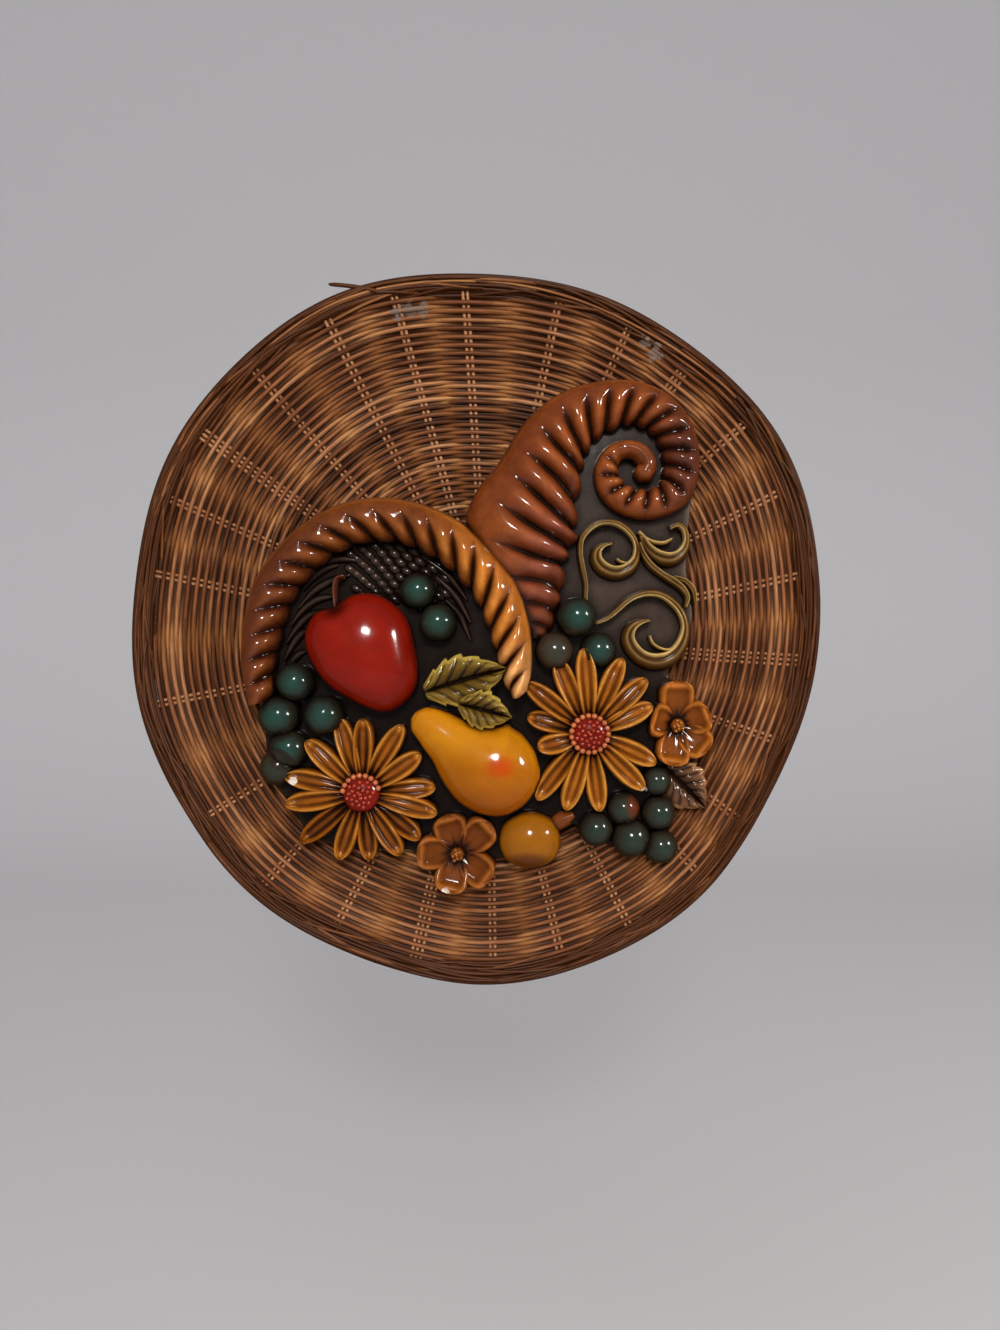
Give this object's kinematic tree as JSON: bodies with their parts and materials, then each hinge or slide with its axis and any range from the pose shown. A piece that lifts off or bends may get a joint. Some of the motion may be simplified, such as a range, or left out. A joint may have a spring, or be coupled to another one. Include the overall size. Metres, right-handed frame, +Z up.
{
  "type": "cornucopia wall hanging",
  "caption": "Round woven reed panel with a glazed ceramic relief of a horn of plenty, fruit, grapes and daisies, hung flat on a wall.",
  "frame": {"origin": "middle of the panel, on its flat back, where it lies against the wall", "axes": "+Z up the wall, -Y out of the wall towards the viewer, +X to the viewer's right"},
  "size_m": [0.3747, 0.0392, 0.3866],
  "materials": {
    "glazed_casting": "gloss",
    "reed": "matte",
    "border_reed": "matte"
  },
  "bodies": {
    "root": {"cornucopia_casting": "glazed_casting", "woven_mat": "reed", "woven_border": "border_reed"}
  },
  "joints": []
}
